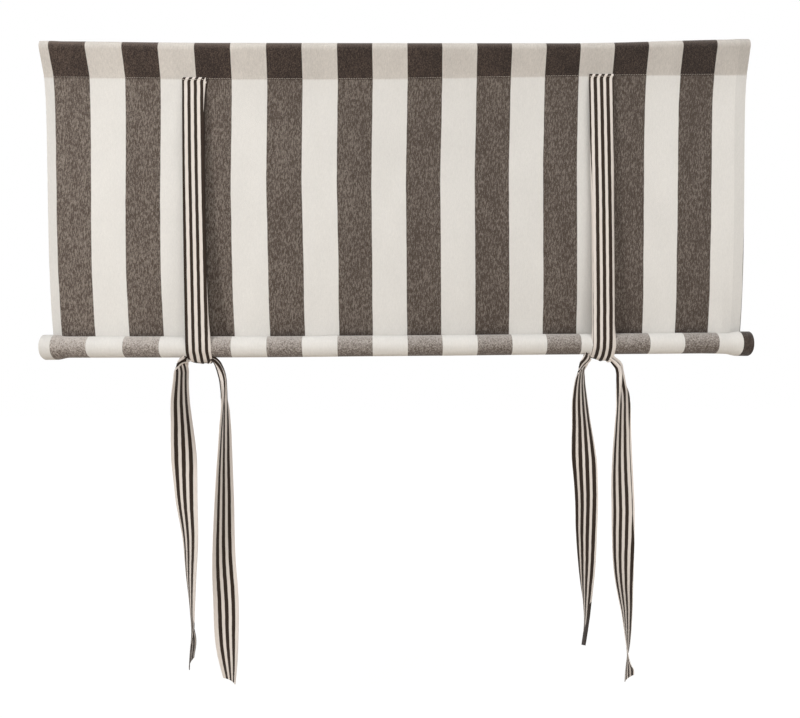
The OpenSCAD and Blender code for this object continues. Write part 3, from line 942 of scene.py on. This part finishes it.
def frontRun(xTop, xLow):
    y = -cloth["seamGap"] / 2 - cloth["layer"] - seat
    level = math.degrees(cloth["entry"]) + 180
    top = sewnEnd(xTop, y, 1)
    wrap = wrapRows([level - down for down in tie["frontWrap"]], xLow)
    a, b = np.array(top[-1]), np.array(wrap[0])
    sway = np.array([tie["sway"], 1, 1, 1])
    hang = [tuple(a + (b - a) * t**sway) for t in np.linspace(0, 1, tie["hangSteps"])[1:-1]]
    return top + hang + wrap


def backRun(xTop, xLow):
    y = cloth["seamGap"] / 2 + cloth["layer"] + seat
    rows = sewnEnd(xTop, y, -1)
    overTape = np.linspace(-0.5, 0.5, tie["ripplePlaces"]) * tapeWidth
    for u in np.linspace(0, 1, tie["backSteps"])[2:-1]:
        x = xTop + (xLow - xTop) * u
        # clear of the ripple across the whole width of the tape
        face, z, _ = panelCurve(x + overTape, np.zeros_like(overTape), u)
        rows.append((x, face.max() + cloth["layer"] + seat, z.mean(), 0))
    return rows + wrapRows(tie["backWrap"], xLow)


def fullRow(row):
    # a short row stands for a flat open tape
    return tuple(row) + (1.0, 0.0, 0.0, 0.0)[len(row) - 4:]


def foldedSection(spread, folded, cup, curl):
    # a section of constant length: folds where the tape is bunched, and one edge turned over
    t = np.linspace(0, 1, tie["across"] + 1)
    bend = np.linspace(0, tie["steepest"], tie["slopeSteps"])
    share = np.cos(bend[:, None] * np.sin(math.tau * t[:-1])).mean(1)
    span = (tie["rope"] + spread * (tapeWidth - tie["rope"])) / tapeWidth
    wave = np.interp(span, share[::-1], bend[::-1])
    angle = wave[:, None] * np.sin(math.tau * tie["pleats"] * t) + cup[:, None] * (2 * t - 1)
    over = 1 - easeStep(folded[:, None] - tie["foldWidth"], folded[:, None], t[None, :])

    def walked(angle):
        angle = angle * (1 - over) + math.pi * over
        steps = np.stack([np.cos(angle), np.sin(angle)]) * tapeWidth / tie["across"]
        return np.cumsum((steps + np.roll(steps, 1, 2)) / 2, 2)

    a, b = walked(angle)
    a -= (a.max(1, keepdims=True) + a.min(1, keepdims=True)) / 2
    b -= (b * (1 - over)).sum(1, keepdims=True) / (1 - over).sum(1, keepdims=True)
    # the curled edges leave the middle of the tape where it was
    edge = tie["curlFrom"]
    turned = curl[:, 1:2] * easeStep(edge, 1, t) - curl[:, :1] * easeStep(edge, 1, 1 - t)
    curledA, curledB = walked(angle + turned)
    mid = slice(tie["across"] // 2, tie["across"] // 2 + 1)
    return curledA + (a - curledA)[:, mid], curledB + (b - curledB)[:, mid], t


def alongRows(rows, places):
    # the columns of a table of rows, read at places along a tape
    rows = np.array(rows, float)
    return np.stack([np.interp(places, rows[:, 0], column) for column in rows[:, 1:].T], -1)


def tapeGrids(rows, slant, curl, knotPlace):
    # the tape's face and reverse along its rows
    route = smoothRoute([fullRow(r) for r in rows], tie["step"], tie["topStep"], tie["topLength"])
    centre, turn, tip = route[:, :3], np.radians(route[:, 3]), np.radians(route[:, 5])
    run = unit(np.gradient(centre, axis=0))
    flat = np.stack([np.cos(turn) * np.cos(tip), np.sin(turn) * np.cos(tip), np.sin(tip)], -1)
    wide = unit(flat - run * (flat * run).sum(1, keepdims=True))
    out = np.cross(wide, run)
    along = lengthAlong(centre)
    hanging = easeStep(knotPlace + tie["cupFrom"], knotPlace + tie["cupTo"], along)
    a, b, t = foldedSection(np.clip(route[:, 4], 0, 1), np.clip(route[:, 6], 0, 1),
                            route[:, 7] + tie["cup"] * hanging, alongRows(curl, along - knotPlace))
    mid = centre[:, None] + wide[:, None] * a[..., None] + out[:, None] * b[..., None]
    atCut = easeStep(along[-1] - tie["cutLength"], along[-1], along)
    mid += run[:, None] * (atCut[:, None] * slant * tapeWidth * (t - 0.5))[..., None]
    normal = unit(np.cross(np.gradient(mid, axis=1), np.gradient(mid, axis=0)))
    uv = np.stack(np.broadcast_arrays(t[None, :], along[:, None] * mm), -1)
    return mid - normal * tie["thick"] / 2, mid + normal * tie["thick"] / 2, uv, along


def makeTie(name, node, side, kind):
    x = side * knotX + tie["drift"]
    top = side * tie["spacing"] / 2 + tie["drift"] * tie["topDrift"]
    run = frontRun(top, x) if kind == "front" else backRun(top, x)
    foot = (x, knotY, knotZ + rollLift(x))
    knot = [tuple(np.add(foot, r[:3])) + tuple(r[3:]) for r in knots[name] + tails[name]]
    runLength = lengthAlong(np.array(run)[:, :3])[-1]
    face, reverse, uv, along = tapeGrids(run + knot, cutSlants[name], curls[name], runLength)
    weave = alongRows(weaves[name], along - runLength)
    # the stripes lean where the top is folded over
    weave[:, 0] += tie["topLean"] * (1 - easeStep(tie["bendAt"], tie["bendAt"] + tie["leanFade"], along))
    # painted shade along the curled edge and the turned tip, read along the tape
    paintedEdgeShade = alongRows(curls[name], along - runLength)[:, 2:]
    bands = np.concatenate([weave, paintedEdgeShade], 1)
    names = ("phase", "period", "darkWidth", "plain", "paintedEdgeShade")
    marks = {mark: (bands[:, i:i + 1],) * 2 for i, mark in enumerate(names)}
    piece = closedSheet(name + "Tie", face, reverse, uv, marks)
    dress(piece, tapeFinish)
    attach(piece, "root")
    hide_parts(node)
    # a row of stitches across the outer side, below the fold
    row = int(np.searchsorted(along, tie["bendAt"] + tie["stitchDrop"]))
    ahead = -1.0 if kind == "front" else 1.0
    outer = max(face[row], reverse[row], key=lambda edge: ahead * edge[:, 1].mean())
    places = np.arange(stitch["tieEnds"][0], tapeWidth - stitch["tieEnds"][1], stitch["pitch"])
    width = np.linspace(0, tapeWidth, len(outer))
    spots = np.stack([np.interp(places, width, column) for column in outer.T], -1)
    thread = stitchRow(name + "Thread", spots, np.array([[0.0, ahead, 0]]), stitch["tieThick"])
    tapeWidth * mm
    round(along[-1] * mm, 3)


for side, hand in ((-1, "left"), (1, "right")):
    makeTie(hand + "Front", hand + "_front_tie", side, "front")
    makeTie(hand + "Back", hand + "_back_tie", side, "back")
print("ties knotted")


# the heading's seam, on both sides of the cloth

seamX = np.arange(stitch["seamEnds"][0] - half, half - stitch["seamEnds"][1], stitch["pitch"])
seamFace = cloth["seamGap"] / 2 + layerAt(hemShare(seamX))


def seamRow(name, side):
    line = np.stack([seamX, side * seamFace, seamZ + seamLift(seamX)], -1)
    return stitchRow(name, line, np.array([[0.0, side, 0]]), stitch["thick"])


frontSeam, backSeam = seamRow("seamFront", -1), seamRow("seamBack", 1)
print("seams stitched")


# stage, light and camera

stage = {
    "floor": -1.0, "size": 12.0,  # m
    "floorTone": (0.62, 0.55, 0.47, 1),
    "white": 1.06,  # the floor as the camera sees it
    "shadow": (0.92, 0.08),  # share of that white near the blind, and what is added further off
    "clear": (0.2, 1.6),  # squared distance where that starts, and how fast it grows
    "glow": (1.0, 0.99, 0.97, 1), "glowPower": 0.21,
    "lampTone": (0.97, 0.985, 1.0),
}


def makeStage():
    bpy.ops.object.select_all(action="DESELECT")
    bpy.ops.mesh.primitive_plane_add(size=stage["size"], location=(0, 0, stage["floor"]))
    floor = bpy.context.object
    floor.name = "floor"
    f = newFinish("paleFloor")
    seen = f.seen()
    x, y, _ = f.node("SeparateXYZ", {0: f.node("TexCoord")[3]})
    far = (((x * x + y * y) - stage["clear"][0]) * stage["clear"][1]).held()
    plain = f.node("BsdfDiffuse", {"Color": stage["floorTone"]})[0]
    white = f.node("Emission", {"Color": (1, 1, 1, 1), "Strength": stage["white"]})[0]
    share = seen * (stage["shadow"][0] + far * stage["shadow"][1])
    both = f.node("MixShader", {0: share, 1: plain, 2: white})[0]
    f.node("OutputMaterial", {"Surface": both})
    dress(floor, f.owner)


def makeWorld():
    f = Finish(bpy.data.worlds.new("studio"))
    glow = {"Color": stage["glow"], "Strength": stage["glowPower"]}
    soft = f.node("Background", glow)[0]
    white = f.node("Background", {"Color": (1, 1, 1, 1)})[0]
    both = f.node("MixShader", {0: f.seen(), 1: soft, 2: white})[0]
    f.node("OutputWorld", {"Surface": both})
    scene.world = f.owner


def softLamp(name, place, aim, size, power):
    lamp = bpy.data.lights.new(name, "AREA")
    lamp.shape, lamp.size, lamp.size_y, lamp.energy = "RECTANGLE", size[0], size[1], power
    lamp.color = stage["lampTone"]
    holder = bpy.data.objects.new(name, lamp)
    scene.collection.objects.link(holder)
    holder.location = place
    holder.rotation_euler = (Vector(aim) - Vector(place)).to_track_quat("-Z", "Y").to_euler()


makeStage()
makeWorld()
softLamp("leftLamp", (-2.0, -1.8, 0.35), (-0.1, 0, -0.3), (0.6, 0.6), 35)
softLamp("rightLamp", (2.0, -1.9, 0.35), (0.1, 0, -0.3), (1.6, 1.6), 12)
softLamp("topLamp", (0, -0.6, 1.5), (0, 0, -0.2), (2.2, 0.7), 16)
softLamp("frontLamp", (0.5, -2.6, -0.35), (0.1, 0, -0.3), (2.2, 1.4), 24)
softLamp("backLamp", (0.4, 2.4, 0.6), (0, 0, -0.3), (2.2, 1.4), 42)
print("stage lit")

view = {
    "away": 0.970, "height": -0.440,  # m
    "yaw": 1.22, "roll": 0.5,  # degrees
    "focal": 681, "wide": 800,  # in pixels of the picture
    "sensor": 36,  # mm
}


def makeCamera():
    yaw, roll = math.radians(view["yaw"]), math.radians(view["roll"])
    ahead = Vector((math.sin(yaw), math.cos(yaw), 0))
    level = Vector((math.cos(yaw), -math.sin(yaw), 0))
    right = level * math.cos(roll) - Vector((0, 0, 1)) * math.sin(roll)
    up = right.cross(ahead)
    data = bpy.data.cameras.new("camera")
    data.sensor_width, data.sensor_fit = view["sensor"], "HORIZONTAL"
    data.lens = view["focal"] / view["wide"] * data.sensor_width
    camera = bpy.data.objects.new("camera", data)
    scene.collection.objects.link(camera)
    turn = Matrix((right, up, -ahead)).transposed().to_4x4()
    camera.matrix_world = Matrix.Translation(Vector((0, 0, view["height"])) - ahead * view["away"]) @ turn
    scene.camera = camera


makeCamera()
scene.view_settings.view_transform = "Standard"
print("camera set")
